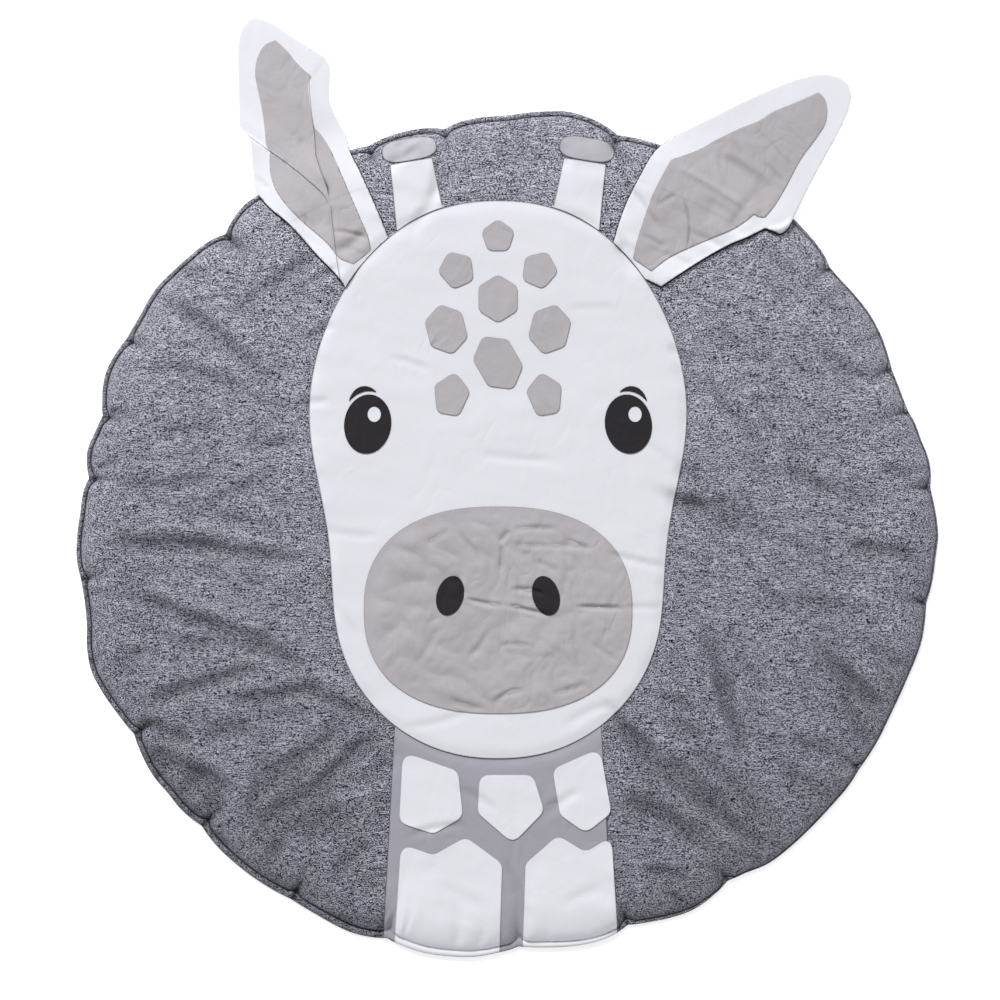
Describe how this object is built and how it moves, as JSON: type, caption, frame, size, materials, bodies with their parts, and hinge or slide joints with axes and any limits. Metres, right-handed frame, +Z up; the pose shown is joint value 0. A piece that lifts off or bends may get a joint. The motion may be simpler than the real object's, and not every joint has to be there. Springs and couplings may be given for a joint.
{
  "type": "padded play mat",
  "caption": "Round padded play mat of grey jersey with an appliqued giraffe head and neck and two loose cloth ears that lie over the rim.",
  "frame": {"origin": "middle of the flat underside, on the floor", "axes": "+Z up out of the front, +Y from the giraffe's chin to its crown, +X to its right as seen from above"},
  "size_m": [0.9044, 0.9908, 0.0278],
  "materials": {
    "grey_jersey": "heather grey cotton jersey, matt",
    "white_cotton": "white plain-weave cotton, matt",
    "taupe_cotton": "taupe plain-weave cotton, matt",
    "neck_grey": "mid grey plain-weave cotton, matt",
    "tip_grey": "light grey plain-weave cotton, matt",
    "black_cotton": "black plain-weave cotton, matt"
  },
  "bodies": {
    "root": {"mat_body": "grey_jersey", "head": "white_cotton", "muzzle": "taupe_cotton", "nostril_left": "black_cotton", "nostril_right": "black_cotton", "eye_left": "black_cotton", "eye_right": "black_cotton", "eye_light_left": "white_cotton", "eye_light_right": "white_cotton", "lash_left": "black_cotton", "lash_right": "black_cotton", "spot_1": "taupe_cotton", "spot_2": "taupe_cotton", "spot_3": "taupe_cotton", "spot_4": "taupe_cotton", "spot_5": "taupe_cotton", "spot_6": "taupe_cotton", "spot_7": "taupe_cotton", "spot_8": "taupe_cotton", "spot_9": "taupe_cotton", "neck": "neck_grey", "neck_patch_1": "white_cotton", "neck_patch_2": "white_cotton", "neck_patch_3": "white_cotton", "neck_patch_4": "white_cotton", "neck_patch_5": "white_cotton", "horn_left": "white_cotton", "horn_right": "white_cotton", "horn_tip_left": "tip_grey", "horn_tip_right": "tip_grey", "ear_left": "white_cotton", "ear_right": "white_cotton", "ear_inner_left": "taupe_cotton", "ear_inner_right": "taupe_cotton"}
  },
  "joints": []
}
